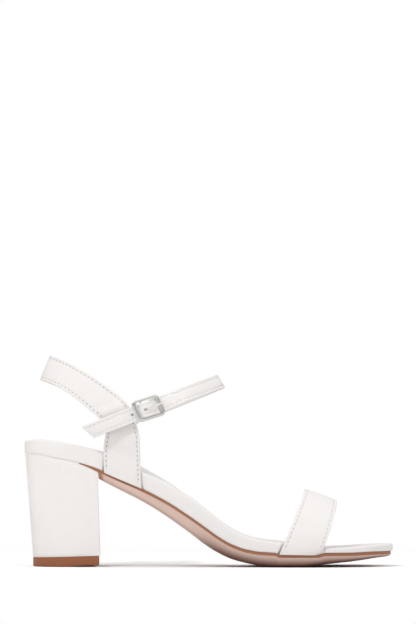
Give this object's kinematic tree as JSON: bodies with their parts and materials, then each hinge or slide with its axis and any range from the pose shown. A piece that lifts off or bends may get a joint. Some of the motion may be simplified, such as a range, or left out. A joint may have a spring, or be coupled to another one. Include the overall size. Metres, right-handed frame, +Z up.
{
  "type": "ankle strap block heel sandal",
  "caption": "Open-toe sandal on a tall block heel, with a broad toe strap, a heel strap round the ankle and a buckled ankle strap.",
  "frame": {"origin": "on the floor, at the middle of the shoe's length and width", "axes": "+X towards the toe, +Y towards the inner side of the foot, +Z up"},
  "size_m": [0.2354, 0.0797, 0.1348],
  "materials": {
    "white_leather": "smooth white leather, soft sheen",
    "tan_rubber": "pinkish tan moulded sole with a brown edge, satin",
    "brown_rubber": "brown hard rubber, satin",
    "polished_nickel": "polished nickel plate"
  },
  "bodies": {
    "root": {"outsole": "tan_rubber", "heel_tip": "brown_rubber", "heel_block": "white_leather", "insole": "white_leather", "toe_strap": "white_leather", "heel_and_ankle_strap": "white_leather", "buckle_tab": "white_leather", "buckle_frame": "polished_nickel", "buckle_prong": "polished_nickel"}
  },
  "joints": []
}
